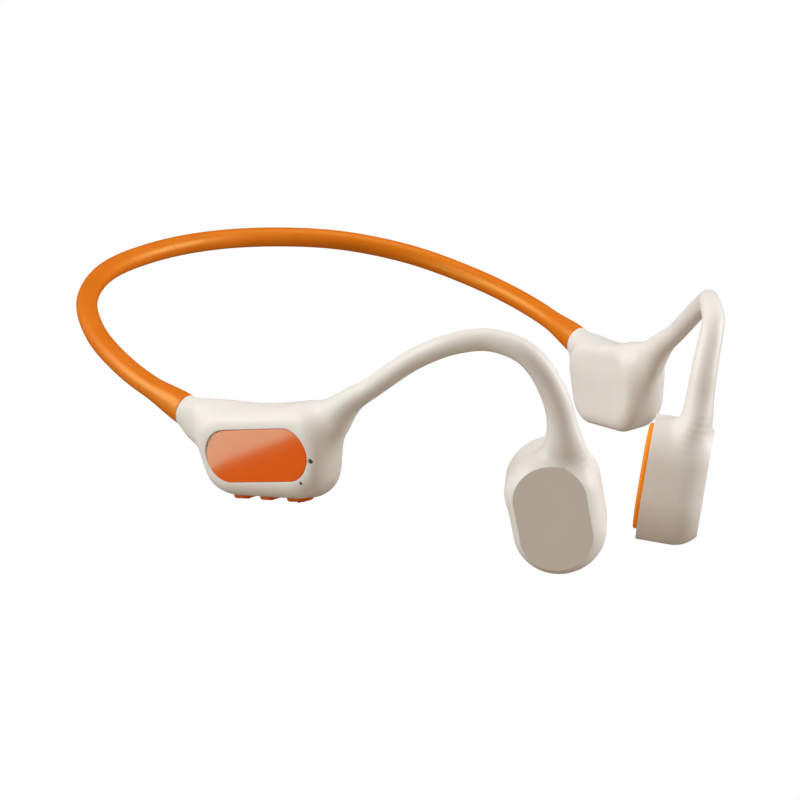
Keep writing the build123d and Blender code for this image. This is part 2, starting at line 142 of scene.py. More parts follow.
# Buttons: place along the pod and length; heights are measured down from the pod's underside
BUTTONS = {"volume_down": (-9.0, 5.4), "power": (-2.3, 4.8), "volume_up": (5.4, 6.0)}
BUTTON_WIDTH, BUTTON_PROUD, BUTTON_GAP = 4.0, 0.88, 0.12
BUTTON_EDGE, BUTTON_CROWN, BUTTON_CROWN_REACH = 0.5, 0.08, 1.2
BUTTON_FLANGE, FLANGE_LOW, FLANGE_HIGH = 0.4, -2.1, -1.65
MARK_HEIGHT, MARK_LENGTH, MARK_WIDTH, MARK_EDGE = 0.35, 2.0, 0.5, 0.2
DOT_RADIUS, DOT_ANGLE = 0.8, 1.35
MARK_ROOT, MARK_SINK = 0.3, 0.02     # how deep a mark starts inside its button, and how far it is lowered

MIC_HOLE, MIC_RADIUS = (13.4, -1.9), 0.5
LIGHT_HOLE, LIGHT_RADIUS = (10.1, -6.4), 0.33
COVER_DEPTH, COVER_THICKNESS, COVER_EXTRA = 0.3, 0.3, 0.1
CHARGE_SPACING, CHARGE_PIN_RADIUS, CHARGE_GAP = 5.0, 1.0, 0.04

# Cutters: rounded lips that they leave, how deep they go and how far they stand out
SEAT_LIP, HOLE_LIP, CHARGE_LIP = 0.2, 0.15, 0.12
BUTTON_CUT, HOLE_CUT, CHARGE_CUT = -2.4, -3.0, -2.0
CUT_ABOVE, HOLE_ABOVE = 3.0, 2.0
FOOT_BEVEL, FOOT_CLEARANCE = 0.15, 0.02

# Necks of the skin: (centre in the pod's or transducer's axes, half width, half height)
REAR_NECK = [
    ((-18.6, 6.65, 0.3), 3.2, 4.95), ((-14.5, 4.85, 0.2), 3.3, 5.8), ((-9.0, 3.3, 0.0), 2.7, 5.6),
    ((-3.0, 1.5, 0.0), 2.2, 4.6),
]
FRONT_NECK = [
    ((2.0, 0.5, 0.0), 2.2, 4.2), ((9.0, 2.2, 0.0), 2.4, 4.8), ((14.0, 4.1, 0.1), 3.1, 4.9),
    ((17.5, 6.2, 0.3), 3.2, 4.1), ((20.5, 8.15, 0.6), 2.85, 3.1), ((23.5, 9.85, 0.9), 2.4, 2.5),
]
TRANSDUCER_NECK = [
    ((4.1, 17.6, 2.1), 3.1, 2.9), ((3.8, 14.0, 2.15), 4.2, 3.25), ((2.6, 8.5, 1.15), 6.2, 4.3),
    ((0.8, 3.0, 0.0), 6.6, 4.4),
]
NECK_BLEND, HOOK_BLEND = 4.6, 1.4
MEETING_BLEND = 0.01             # the pod's half and the transducer's half meet inside the hook

TRANSDUCER_WIDTH = 17.8
TRANSDUCER_LENGTH = 25.4
TRANSDUCER_WALL = 1.6
SKIN_EXTRA = (0.5, 0.7)          # growth of the body's outline, across and along
FACE_WIDTH, FACE_LENGTH, FACE_CENTRE = 14.5, 22.2, (-0.5, 0.6)
BORDER_SLOPE, BORDER_SOFTNESS = 0.85, 2.4
SWELL, SWELL_HEIGHT, SWELL_REACH = 0.05, 6.5, 4.0     # the rear edge bulges a little near its top
FACE_SPARE, FACE_EDGE = 1.0, 0.05     # the spare is cut off again and leaves flat, crisp faces
SPARE_GROWTH, SPARE_CUT = 1.5, 4.0
PAD_WIDTH, PAD_LENGTH, PAD_SEAT, PAD_GAP = 14.2, 22.0, 0.8, 0.12
PAD_EDGE, PAD_CROWN, PAD_CROWN_REACH = 0.55, 0.2, 5.5
POCKET_WIDTH, POCKET_LENGTH, POCKET_EDGE = 13.2, 21.0, 0.6

# The neckband's centreline on the right half, and its sleeve
BAND_PATH = [
    (-78.64, 0, 18.3), (-76.24, -18, 17.7), (-69.84, -34, 16.0), (-58.44, -46, 13.0),
    (-42.24, -53.6, 8.8), (-23.24, -56.6, 4.2), (-2.64, -54.8, -1.0),
]
BAND_RADIUS = 2.4
BAND_END = (2.9, 3.5)
BAND_BORE = 1.45
BAND_FLARE, BAND_LIP = 13.0, 0.3
BAND_START_DIRECTION = (0, -1, 0)
BAND_END_DIRECTION = (0.95, 0.13, -0.27)
CORE_RADIUS, CORE_OFFSET = 0.45, 0.6
CORE_TAIL = 7.5
BORE_DEPTH = 12.0
SEAM_CUT_RADIUS, SEAM_CUT_LENGTH = 7.0, 9.0
BAND_BODIES = ("right_side", "left_side")
SIDES = (("right", "right_side"), ("left", "left_side"))

# The ear hook's centreline on the right side
HOOK_PATH = [
    (42.76, -41.7, 9.9), (46.66, -40.5, 12.9), (54.36, -37.7, 18.5), (61.16, -33.7, 22.0),
    (65.46, -29.7, 22.9), (71.6, -24.95, 20.65), (74.2, -20.8, 14.0), (74.96, -18.8, 8.1),
]
HOOK_RADIUS, HOOK_FLARE = 2.1, 0.6
HOOK_BORE, BORE_START, BORE_END = 1.3, (10.0, 3.0, 0.1), (4.1, 9.0, 2.0)
HOOK_START_DIRECTION = (0.76, 0.22, 0.61)
HOOK_END_DIRECTION = (0.025, 0.214, -0.976)

# The box that holds one side's skin, and the size of the grid that it is worked out on
SKIN_LOW, SKIN_HIGH = (-8.0, -61.0, -27.5), (84.0, -2.0, 27.5)
SKIN_CELL, HOLLOW_CELL, QUICK_CELL = 0.42, 0.6, 0.8

# The view in millimetres and degrees, and the studio in metres and watts
VIEW_TURN, VIEW_RISE, VIEW_DISTANCE, VIEW_LENS = 52.65, 14.10, 514.9, 103.5
VIEW_TARGET = (-0.644, 0.0, -6.698)
FLOOR, FLOOR_HALF = -0.2, 6.0
COOL = (0.95, 0.98, 1.0)
FLOOR_COLOUR = (0.34, 0.27, 0.21)
AMBIENT, AMBIENT_COLOUR, REFLECTED = 0.57, (1.0, 0.91, 0.81), 0.03
SOFT_LIGHTS = {                  # direction, distance, width and height, power
    "key": ((-0.52, -0.78, 0.45), 1.7, (1.1, 1.1), 18.5),
    "top": ((0.1, 0.15, 1.0), 1.2, (0.8, 0.8), 3.2),
    "right_rim": ((0.55, 0.80, 0.25), 0.9, (0.3, 0.6), 4.9),
}
CARD_EDGE = ((-13.0, -3.0), (8.0, 4.6))     # where the card's edge shows on the badge, in millimetres
CARD_SIZE, CARD_REACH = (120.0, 60.0), 1.75
CARD_POWER, CARD_COLOUR = 0.33, (0.38, 1.0, 0.76)

# ---------------------------------------------------------------- curves


def arc_knots(points):
    return np.concatenate([[0], np.cumsum(np.linalg.norm(np.diff(points, axis=0), axis=1))])


def smooth_rows(rows, knots, steps, start_slope, end_slope):
    """A Hermite curve through rows of values at the knots, with the slopes given at both ends."""
    rows = np.array(rows, float)
    gaps = np.diff(knots)
    before = np.diff(rows, axis=0) / gaps[:, None]
    share = (gaps[:-1] / (gaps[:-1] + gaps[1:]))[:, None]
    slopes = np.vstack([start_slope, before[:-1] * (1 - share) + before[1:] * share, end_slope])
    s = np.linspace(0, knots[-1], steps)
    k = np.clip(np.searchsorted(knots, s, side="right") - 1, 0, len(gaps) - 1)
    h = gaps[k][:, None]
    t = (s - knots[k])[:, None] / h
    return ((2 * t**3 - 3 * t**2 + 1) * rows[k] + (t**3 - 2 * t**2 + t) * h * slopes[k]
            + (-2 * t**3 + 3 * t**2) * rows[k + 1] + (t**3 - t**2) * h * slopes[k + 1])


def smooth_path(points, start_direction, end_direction, steps):
    points = np.array(points, float)
    return smooth_rows(points, arc_knots(points), steps, unit(start_direction), unit(end_direction))


def directions(path):
    return np.array([unit(d) for d in np.gradient(path, axis=0)])


# ---------------------------------------------------------------- the cream skin's shape
# Each field gives the distance in millimetres to a surface, negative inside it.


def smooth_union(a, b, k):
    h = np.clip(0.5 + 0.5 * (b - a) / k, 0, 1)
    return b + (a - b) * h - k * h * (1 - h)


def soft_overlap(a, b, k):
    return -smooth_union(-a, -b, k)


def round_overlap(a, b, radius):
    u, v = np.maximum(a + radius, 0), np.maximum(b + radius, 0)
    return np.hypot(u, v) + np.minimum(np.maximum(a, b) + radius, 0) - radius


def rounded_rectangle(x, y, half_x, half_y, radius):
    u, v = np.abs(x) - half_x + radius, np.abs(y) - half_y + radius
    return np.hypot(np.maximum(u, 0), np.maximum(v, 0)) + np.minimum(np.maximum(u, v), 0) - radius


def stadium(x, y, length, width):
    """Distance to a stadium that is long along y."""
    return np.hypot(x, np.maximum(np.abs(y) - (length - width) / 2, 0)) - width / 2


def underside(x, z=0.0):
    """The height of the pod's underside."""
    drop = BOTTOM_DROP * (np.clip(x, DROP_FROM, DROP_TO) - DROP_FROM)
    return -POD_HEIGHT / 2 - drop - BOTTOM_SLANT * (SLANT_FROM - z)


def pod_field(points, inset=0.0):
    """The pod's body: fully round at the front in plan, with large bottom corners.

    The slanted top and underside are scaled to a box of even height."""
    x, y, z = POD.inside(points)
    half_x, half_y, half_z = np.array([POD_LENGTH, POD_HEIGHT, POD_THICKNESS]) / 2 - inset
    level = np.clip(z, -POD_THICKNESS / 2, POD_THICKNESS / 2)
    topside = POD_HEIGHT / 2 - TOP_SLANT * (level + SLANT_FROM)
    y = y * half_y / (np.where(y > 0, topside, -underside(x, level)) - inset)
    x = np.where(x < 0, x * half_x / (half_x + POD_REAR_EXTRA), x)
    plan = rounded_rectangle(x, z, half_x, half_z, np.where(x > 0, half_z, POD_REAR_RADIUS - inset))
    bottom = np.where(x > 0, POD_FRONT_BOTTOM_RADIUS, POD_REAR_BOTTOM_RADIUS)
    side = rounded_rectangle(x, y, half_x, half_y, np.where(y < 0, bottom, POD_TOP_RADIUS) - inset)
    return round_overlap(plan, side, max(POD_EDGE_RADIUS - inset, 1.0))


def transducer_field(points):
    """The transducer's body, before its two faces are cut flat.

    A border slopes away from the outer face."""
    x, y, z = TRANSDUCER.inside(points)
    swell = SWELL * np.exp(-((y - SWELL_HEIGHT) / SWELL_REACH) ** 2)
    side = stadium(np.where(x < 0, x * (1 - swell), x), y,
                   TRANSDUCER_LENGTH + SKIN_EXTRA[1], TRANSDUCER_WIDTH + SKIN_EXTRA[0])
    ends = np.abs(z) - TRANSDUCER_THICKNESS / 2 - FACE_SPARE
    outside_face = stadium(x - FACE_CENTRE[0], y - FACE_CENTRE[1], FACE_LENGTH, FACE_WIDTH)
    border = (BORDER_SLOPE * outside_face + z - TRANSDUCER_THICKNESS / 2) / math.hypot(BORDER_SLOPE, 1)
    return soft_overlap(soft_overlap(side, border, BORDER_SOFTNESS), ends, FACE_EDGE)


def pocket_field(points):
    """The hollow for the exciter, open to the contact pad's seat on the inner face."""
    x, y, z = TRANSDUCER.inside(points)
    side = stadium(x, y, POCKET_LENGTH, POCKET_WIDTH)
    low, high = -TRANSDUCER_THICKNESS / 2 + PAD_SEAT / 2, TRANSDUCER_THICKNESS / 2 - TRANSDUCER_WALL
    return round_overlap(side, np.abs(z - (low + high) / 2) - (high - low) / 2, POCKET_EDGE)


class Tube:
    """A tube whose section is an ellipse that changes along a path.

    Each station is (point, direction across, half width across, half height)."""

    def __init__(self, rows, steps):
        rows = np.array([[*row[0], *row[1], *row[2:]] for row in rows], float)
        knots = arc_knots(rows[:, :3])
        ends = [(rows[k + 1] - rows[k]) / (knots[k + 1] - knots[k]) for k in (0, len(rows) - 2)]
        rows = smooth_rows(rows, knots, steps, *ends)
        self.path, self.width, self.height = rows[:, :3], rows[:, 6], rows[:, 7]
        self.across = np.array([unit(v) for v in rows[:, 3:6]])

    def field(self, points):
        best = np.full(len(points), np.inf)
        value = np.zeros(len(points))
        for k in range(len(self.path) - 1):
            start, step = self.path[k], self.path[k + 1] - self.path[k]
            rel = points - start
            t = np.clip(rel @ step / (step @ step), 0, 1)
            offset = rel - t[:, None] * step
            squared = np.einsum("ij,ij->i", offset, offset)
            nearer = squared < best
            best[nearer] = squared[nearer]
            t, squared = t[nearer], squared[nearer]
            a = offset[nearer] @ unit(self.across[k] + self.across[k + 1])
            width = self.width[k] * (1 - t) + self.width[k + 1] * t
            height = self.height[k] * (1 - t) + self.height[k + 1] * t
            q = np.sqrt((a / width) ** 2 + np.maximum(squared - a * a, 0) / height**2)
            core = 0.05          # nearer the middle than this, the smaller half size is used
            value[nearer] = np.where(q > core, np.sqrt(squared) * (1 - 1 / np.maximum(q, core)),
                                     -np.minimum(width, height))
        return value


def rear_neck():
    """From the neckband's end into the pod."""
    end, back = np.array(BAND_PATH[-1]), unit(BAND_END_DIRECTION)
    level = unit(np.cross(back, UP))
    return Tube([
        (end - 3 * back, level, *BAND_END),
        (end, level, *BAND_END),
        *((POD.outside(*place), POD.z, width, height) for place, width, height in REAR_NECK),
    ], 30)


def hook_arch():
    return smooth_path(HOOK_PATH, HOOK_START_DIRECTION, HOOK_END_DIRECTION, 40)


def ear_hook():
    """From the pod's front over the ear and down into the transducer."""
    arch = hook_arch()
    descent = arch[13:-2:3]
    thickened = np.linspace(0, 1, len(descent)) ** 2 * HOOK_FLARE + HOOK_RADIUS
    return Tube([
        *((POD.outside(*place), POD.z, width, height) for place, width, height in FRONT_NECK),
        *((p, POD.z, HOOK_RADIUS, HOOK_RADIUS) for p in arch[1:12:3]),
        *((p, TRANSDUCER.x, r, r) for p, r in zip(descent, thickened)),
        *((TRANSDUCER.outside(*place), TRANSDUCER.x, width, depth)
          for place, width, depth in TRANSDUCER_NECK),
    ], 80)


def hook_bore():
    """The hollow for the hook's spring wire and lead, from the pod's hollow to the transducer's."""
    centres = [POD.outside(*BORE_START), *hook_arch()[::3], TRANSDUCER.outside(*BORE_END)]
    return Tube([(p, POD.z, HOOK_BORE, HOOK_BORE) for p in centres], 60)


REAR_TUBE, EAR_HOOK, BORE = rear_neck(), ear_hook(), hook_bore()


def skin_field(points):
    hook = EAR_HOOK.field(points)
    shape = smooth_union(pod_field(points), REAR_TUBE.field(points), NECK_BLEND)
    shape = smooth_union(shape, hook, NECK_BLEND)
    return smooth_union(shape, smooth_union(hook, transducer_field(points), HOOK_BLEND), MEETING_BLEND)


def hollow_field(points):
    hollow = np.minimum(pod_field(points, POD_WALL), pocket_field(points))
    return np.minimum(hollow, BORE.field(points))


# ---------------------------------------------------------------- turning a field into a mesh


def field_samples(field, low, high, cell):
    """Field values on a grid; only cells near the surface are worked out finely."""
    coarse = 4
    counts = [int(math.ceil((h - l) / cell / coarse)) * coarse + 1 for l, h in zip(low, high)]
    axes = [l + cell * np.arange(n) for l, n in zip(low, counts)]
    rough_axes = [a[::coarse] for a in axes]
    rough = np.stack(np.meshgrid(*rough_axes, indexing="ij"), -1).reshape(-1, 3)
    rough = field(rough).reshape([len(a) for a in rough_axes])
    values = rough
    for axis in range(3):
        values = np.repeat(values, coarse, axis=axis)
        values = np.take(values, np.arange(counts[axis]), axis=axis)
    margin = 2.2                 # in coarse cells, enough for the field's steepest places
    near = np.abs(values) < cell * coarse * margin
    index = np.argwhere(near)
    points = np.stack([axes[a][index[:, a]] for a in range(3)], -1)
    values[near] = np.concatenate([field(block) for block in np.array_split(points, 8)])
    for axis in (0, 1, 2, 0, 1, 2):
        before, after = np.roll(values, 1, axis), np.roll(values, -1, axis)
        values = 0.25 * before + 0.5 * values + 0.25 * after
    return values, axes


def surface_nets(values, axes):
    """Vertices and quads of the zero surface of a sampled field."""
    inside = values < 0
    cells = np.zeros(np.array(values.shape) - 1, np.int8)
    for dx in (0, 1):
        for dy in (0, 1):
            for dz in (0, 1):
                cells += inside[dx:cells.shape[0] + dx, dy:cells.shape[1] + dy,
                                dz:cells.shape[2] + dz]
    active = (cells > 0) & (cells < 8)
    number = -np.ones(cells.shape, np.int64)
    number[active] = np.arange(active.sum())
    base = np.argwhere(active)
    total, count = np.zeros((len(base), 3)), np.zeros(len(base))
    corners = list(np.ndindex(2, 2, 2))
    for a in corners:
        for b in corners:
            if sum(abs(p - q) for p, q in zip(a, b)) != 1 or a > b:
                continue
            va, vb = values[tuple((base + a).T)], values[tuple((base + b).T)]
            crossing = (va < 0) != (vb < 0)
            t = np.where(crossing, va / np.where(crossing, va - vb, 1), 0)
            total += np.where(crossing[:, None], base + a + t[:, None] * (np.array(b) - a), 0)
            count += crossing
    step = np.array([ax[1] - ax[0] for ax in axes])
    origin = np.array([ax[0] for ax in axes])
    verts = origin + total / count[:, None] * step
    quads = []
    for axis in range(3):
        u, v = [(1, 2), (2, 0), (0, 1)][axis]
        first = np.take(inside, np.arange(inside.shape[axis] - 1), axis=axis)
        second = np.take(inside, np.arange(1, inside.shape[axis]), axis=axis)
        edges = np.argwhere(first != second)
        edges = edges[(edges[:, u] > 0) & (edges[:, v] > 0)]
        ring = []
        for du, dv in ((-1, -1), (0, -1), (0, 0), (-1, 0)):
            cell = edges.copy()
            cell[:, u] += du
            cell[:, v] += dv
            ring.append(number[tuple(cell.T)])
        quad = np.stack(ring, -1)
        flip = ~first[tuple(edges.T)]
        quad[flip] = quad[flip][:, ::-1]
        quads.append(quad)
    return verts, np.concatenate(quads)


def largest_part(verts, quads):
    """Only the biggest connected surface, without any specks beside it."""
    label = np.arange(len(verts))
    while True:
        lowest = label.copy()
        least = label[quads].min(1)
        for corner in range(4):
            np.minimum.at(lowest, quads[:, corner], least)
        lowest = lowest[lowest]
        if (lowest == label).all():
            break
        label = lowest
    main = np.bincount(label).argmax()
    keep = label == main
    renumbered = np.cumsum(keep) - 1
    return verts[keep], renumbered[quads[keep[quads[:, 0]]]]


def settle(verts, field, rounds=3):
    """Moves vertices exactly onto the field's zero surface."""
    reach = 0.02
    for _ in range(rounds):
        value = field(verts)
        slope = np.stack([(field(verts + reach * e) - field(verts - reach * e)) / (2 * reach)
                          for e in np.eye(3)], -1)
        verts = verts - value[:, None] * slope / np.maximum((slope**2).sum(1), 0.05)[:, None]
    return verts


def relax(verts, quads, rounds):
    """Evens out the quads by moving each vertex towards its neighbours' middle."""
    for _ in range(rounds):
        total, count = np.zeros_like(verts), np.zeros(len(verts))
        for a, b in ((0, 1), (1, 2), (2, 3), (3, 0)):
            for p, q in ((a, b), (b, a)):
                np.add.at(total, quads[:, p], verts[quads[:, q]])
                np.add.at(count, quads[:, p], 1)
        verts = 0.5 * verts + 0.5 * total / count[:, None]
    return verts


def field_mesh(field, low, high, cell):
    """A closed, evenly meshed solid from a field."""
    verts, quads = largest_part(*surface_nets(*field_samples(field, low, high, cell)))
    verts = relax(settle(verts, field), quads, 3)
    return settle(verts, field), quads.tolist()


# ---------------------------------------------------------------- solids made of rings of points
# A solid is (vertices, faces). Profiles list (growth of the outline, height), bottom to top.


def rounded_ring(length, width, radius, steps=14):
    """Points round a rectangle with rounded corners, anticlockwise."""
    radius = min(radius, length / 2 - 0.01, width / 2 - 0.01)
    ring = []
    for side_x, side_y, start in ((1, 1, 0), (-1, 1, 90), (-1, -1, 180), (1, -1, 270)):
        for angle in np.radians(np.linspace(start, start + 90, steps)):
            ring.append((side_x * (length / 2 - radius) + radius * math.cos(angle),
                         side_y * (width / 2 - radius) + radius * math.sin(angle)))
    return np.array(ring)


def stack(rings):
    """A closed solid through rings that have the same number of points."""
    count = len(rings[0])
    faces = [tuple(range(count))[::-1]]
    for level in range(len(rings) - 1):
        a, b = level * count, (level + 1) * count
        faces += [(a + i, a + (i + 1) % count, b + (i + 1) % count, b + i) for i in range(count)]
    faces.append(tuple(range((len(rings) - 1) * count, len(rings) * count)))
    return np.concatenate(rings), faces


def slab(length, width, corner, profile, steps=14):
    """A rounded rectangle grown along z."""
    rings = []
    for growth, z in profile:
        flat = rounded_ring(length + 2 * growth, width + 2 * growth, corner + growth, steps)
        rings.append(np.column_stack([flat, np.full(len(flat), z)]))
    return stack(rings)


def disc(radius, profile, steps=32):
    """A round solid grown along z."""
    angles = np.linspace(0, 2 * math.pi, steps, endpoint=False)
    circle = np.column_stack([np.cos(angles), np.sin(angles)])
    return stack([np.column_stack([circle * (radius + growth), np.full(steps, z)])
                  for growth, z in profile])


def edge_up(radius, growth, z, steps=6):
    """Profile points of a rounded top edge that ends at (growth, z)'s corner."""
    return [(growth - radius + radius * math.cos(a), z - radius + radius * math.sin(a))
            for a in np.linspace(0, math.pi / 2, steps)]


def flare(radius, growth, z, steps=6):
    """Profile points of a cutter's mouth, which leaves a rounded lip on what it cuts."""
    return [(growth + radius - radius * math.cos(a), z - radius + radius * math.sin(a))
            for a in np.linspace(0, math.pi / 2, steps)]


def crown(height, growth, z, reach, steps=6):
    """Profile points of a gently domed top, from its edge to reach inside it."""
    return [(growth - reach * t, z + height * (1 - (1 - t) ** 2))
            for t in np.linspace(0, 1, steps)[1:]]


def seated_foot(depth):
    """Profile points of a bevelled foot, just clear of the floor of its seat."""
    return [(-FOOT_BEVEL, FOOT_CLEARANCE - depth), (0, FOOT_CLEARANCE + FOOT_BEVEL - depth)]


def well(depth, gap, lip, top):
    """Profile points of a cutter for a straight well with a rounded lip."""
    return [(gap, depth), *flare(lip, gap, 0.0), (gap + lip, top)]


def placed(solid, axes, x=0.0, y=0.0, z=0.0, facing="z"):
    """Puts a solid that points along z into a local frame, where it points along facing."""
    verts, faces = solid
    a, b, c = np.asarray(verts, float).T
    turned = {"z": (a, b, c), "-z": (a, -b, -c), "-y": (a, -c, b)}[facing]
    local = np.stack(turned, -1) + (x, y, z)
    return axes.origin + local @ np.array([axes.x, axes.y, axes.z]), faces


def tube(path, across_sizes, up_sizes, inner, steps=48):
    """A tube round a path, closed at both ends, or a solid rod where inner is 0."""
    along = directions(path)
    level = np.array([unit(np.cross(UP, d)) for d in along])
    over = np.cross(along, level)
    angles = np.linspace(0, 2 * math.pi, steps, endpoint=False)
    rings = [p + np.outer(w * np.cos(angles), a) + np.outer(h * np.sin(angles), b)
             for p, a, b, w, h in zip(path, level, over, across_sizes, up_sizes)]
    if inner:
        rings += [p + np.outer(inner * np.cos(angles), a) + np.outer(inner * np.sin(angles), b)
                  for p, a, b in zip(path[::-1], level[::-1], over[::-1])]
        verts, faces = stack(rings + [rings[0]])
        count = len(rings) * steps
        return verts[:count], [tuple(i % count for i in f) for f in faces[1:-1]]
    return stack(rings)


# ---------------------------------------------------------------- objects


def mesh_object(name, solid):
    """A new object from a solid in millimetres, with its faces looking outwards."""
    verts, faces = solid
    mesh = bpy.data.meshes.new(name)
    mesh.from_pydata((np.asarray(verts) * MM).tolist(), [], [[int(i) for i in f] for f in faces])
    bm = bmesh.new()
    bm.from_mesh(mesh)
    bmesh.ops.recalc_face_normals(bm, faces=bm.faces)
    bm.to_mesh(mesh)
    bm.free()
    piece = bpy.data.objects.new(name, mesh)
    bpy.context.scene.collection.objects.link(piece)
    return piece


def mirrored(solid):
    return np.asarray(solid[0]) * (1, -1, 1), solid[1]


def combine(piece, operation, tools):
    """Joins closed solids to a closed piece, or cuts them out of it."""
    helpers = [mesh_object("helper", tool) for tool in tools]
    for helper in helpers:
        step = piece.modifiers.new("combine", "BOOLEAN")
        step.operation, step.solver, step.object = operation, "MANIFOLD", helper
    shown = piece.evaluated_get(bpy.context.evaluated_depsgraph_get())
    result = bpy.data.meshes.new_from_object(shown)
    piece.modifiers.clear()
    piece.data = result
    for helper in helpers:
        bpy.data.objects.remove(helper)
    return piece


def finish_piece(piece, body, slot_name, replaces=(), sharp=32.0):
    """Shading, material and what a finished piece moves with: one body; where two are given, its place is only
    baked into its mesh.
    """
    piece.data.shade_smooth()
    piece.data.set_sharp_from_angle(angle=math.radians(sharp))
    piece.modifiers.new("even_shading", "WEIGHTED_NORMAL").keep_sharp = True
    piece.data.materials.clear()
    piece.data.materials.append(FINISHES[slot_name])
    if replaces:
        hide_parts(*replaces)
    if isinstance(body, str):
        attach(piece, body)
    else:
        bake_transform(piece)
    return piece


# ---------------------------------------------------------------- materials


def node_setup(name):
    made = bpy.data.materials.new(name)
    made.use_nodes = True
    tree = made.node_tree
    return made, tree, tree.nodes["Principled BSDF"]


def noise(tree, scale, detail=4.0, stretch=(1, 1, 1)):
    """A noise pattern fixed to the object, with features about 1/scale metres across."""
    place = tree.nodes.new("ShaderNodeTexCoord")
    stretched = tree.nodes.new("ShaderNodeMapping")
    stretched.inputs["Scale"].default_value = stretch
    pattern = tree.nodes.new("ShaderNodeTexNoise")
    pattern.inputs["Scale"].default_value = scale
    pattern.inputs["Detail"].default_value = detail
    tree.links.new(place.outputs["Object"], stretched.inputs["Vector"])
    tree.links.new(stretched.outputs["Vector"], pattern.inputs["Vector"])
    return pattern.outputs["Fac"]


def remap(tree, value, low, high):
    ranged = tree.nodes.new("ShaderNodeMapRange")
    ranged.inputs["From Min"].default_value, ranged.inputs["From Max"].default_value = 0.3, 0.7
    ranged.inputs["To Min"].default_value, ranged.inputs["To Max"].default_value = low, high
    tree.links.new(value, ranged.inputs["Value"])
    return ranged.outputs["Result"]


def surface(name, colour, roughness, metal=0.0, coat=0.0, grain=2600.0, relief=0.02, mottle=0.03,
            uneven=0.05, stretch=(1, 1, 1), glow=0.0, shine=0.5, tint=(1, 1, 1), blur=0.06):
    """A finish with a fine grain: mottled colour, uneven gloss and a shallow relief."""
    made, tree, shader = node_setup(name)
    fine = noise(tree, grain, 3.0, stretch)
    broad = noise(tree, grain / 30, 4.0, stretch)
    blend = tree.nodes.new("ShaderNodeMix")
    blend.data_type = "RGBA"
    blend.inputs["A"].default_value = (*[c * (1 - mottle) for c in colour], 1)
    blend.inputs["B"].default_value = (*[min(c * (1 + mottle), 1) for c in colour], 1)
    tree.links.new(remap(tree, broad, 0, 1), blend.inputs["Factor"])
    tree.links.new(blend.outputs["Result"], shader.inputs["Base Color"])
    gloss = remap(tree, broad, roughness - uneven, roughness + uneven)
    tree.links.new(gloss, shader.inputs["Roughness"])
    bump = tree.nodes.new("ShaderNodeBump")
    bump.inputs["Strength"].default_value = 0.35
    bump.inputs["Distance"].default_value = relief * MM
    tree.links.new(fine, bump.inputs["Height"])
    tree.links.new(bump.outputs["Normal"], shader.inputs["Normal"])
    shader.inputs["Metallic"].default_value = metal
    shader.inputs["Specular IOR Level"].default_value = shine
    shader.inputs["Coat Weight"].default_value = coat
    shader.inputs["Coat Roughness"].default_value = blur
    shader.inputs["Specular Tint"].default_value = (*tint, 1)
    if glow:
        shader.inputs["Subsurface Weight"].default_value = glow
        shader.inputs["Subsurface Radius"].default_value = (1.2 * MM, 0.7 * MM, 0.4 * MM)
        shader.inputs["Subsurface Scale"].default_value = 1.0
    return made


def board_finish(name):
    """Green solder mask over a fine maze of traces."""
    made, tree, shader = node_setup(name)
    place = tree.nodes.new("ShaderNodeTexCoord")
    cells = tree.nodes.new("ShaderNodeTexVoronoi")
    cells.feature = "DISTANCE_TO_EDGE"
    cells.inputs["Scale"].default_value = 900.0
    tree.links.new(place.outputs["Object"], cells.inputs["Vector"])
    ramp = tree.nodes.new("ShaderNodeValToRGB")
    stops = ((0.06, (0.05, 0.22, 0.08, 1)), (0.12, (0.012, 0.09, 0.03, 1)))
    for stop, (position, colour) in zip(ramp.color_ramp.elements, stops):
        stop.position, stop.color = position, colour
    tree.links.new(cells.outputs["Distance"], ramp.inputs["Fac"])
    tree.links.new(ramp.outputs["Color"], shader.inputs["Base Color"])
    shader.inputs["Roughness"].default_value = 0.3
    return made


